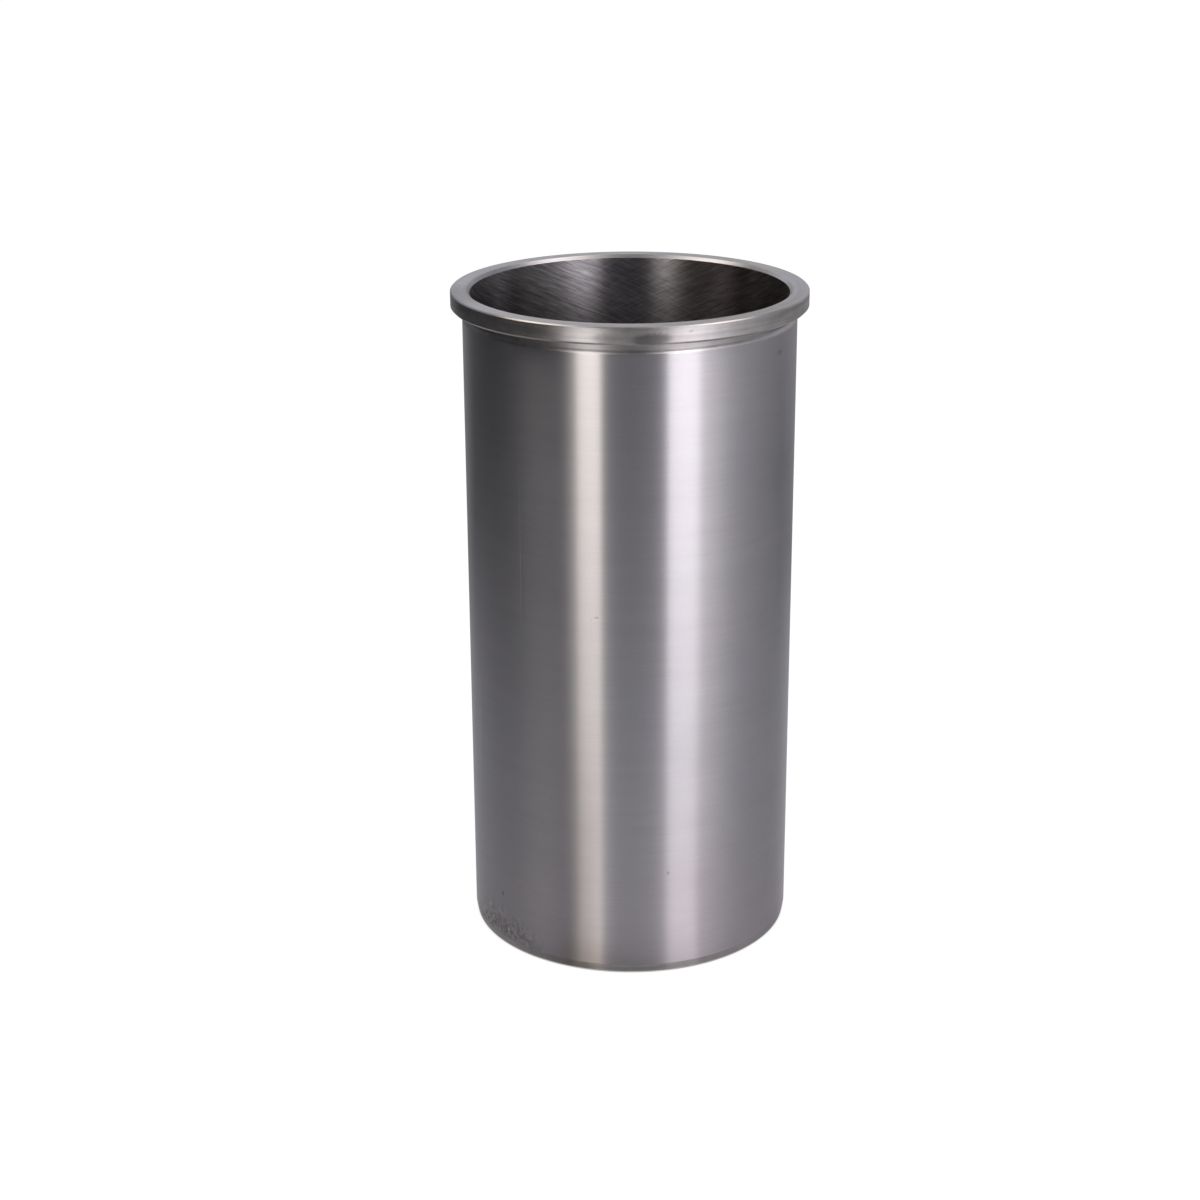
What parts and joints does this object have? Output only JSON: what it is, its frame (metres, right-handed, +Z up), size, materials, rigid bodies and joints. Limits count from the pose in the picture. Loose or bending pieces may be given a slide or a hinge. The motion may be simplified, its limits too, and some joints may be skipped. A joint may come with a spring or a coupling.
{
  "type": "cylinder liner",
  "caption": "Thin-walled iron cylinder sleeve with a top flange, an undercut neck, a honed bore and a tapered foot. It lines a cylinder of a piston engine.",
  "frame": {"origin": "middle of the foot face, on the bore axis", "axes": "+Z up the bore axis to the flange and the cylinder head; +X and +Y are free, because the sleeve is round"},
  "size_m": [0.1122, 0.1122, 0.213],
  "materials": {
    "machined_iron": "fine turned and ground grey iron, satin, bright where the light runs along the grinding marks"
  },
  "bodies": {
    "root": {"cylinder_liner": "machined_iron"}
  },
  "joints": []
}
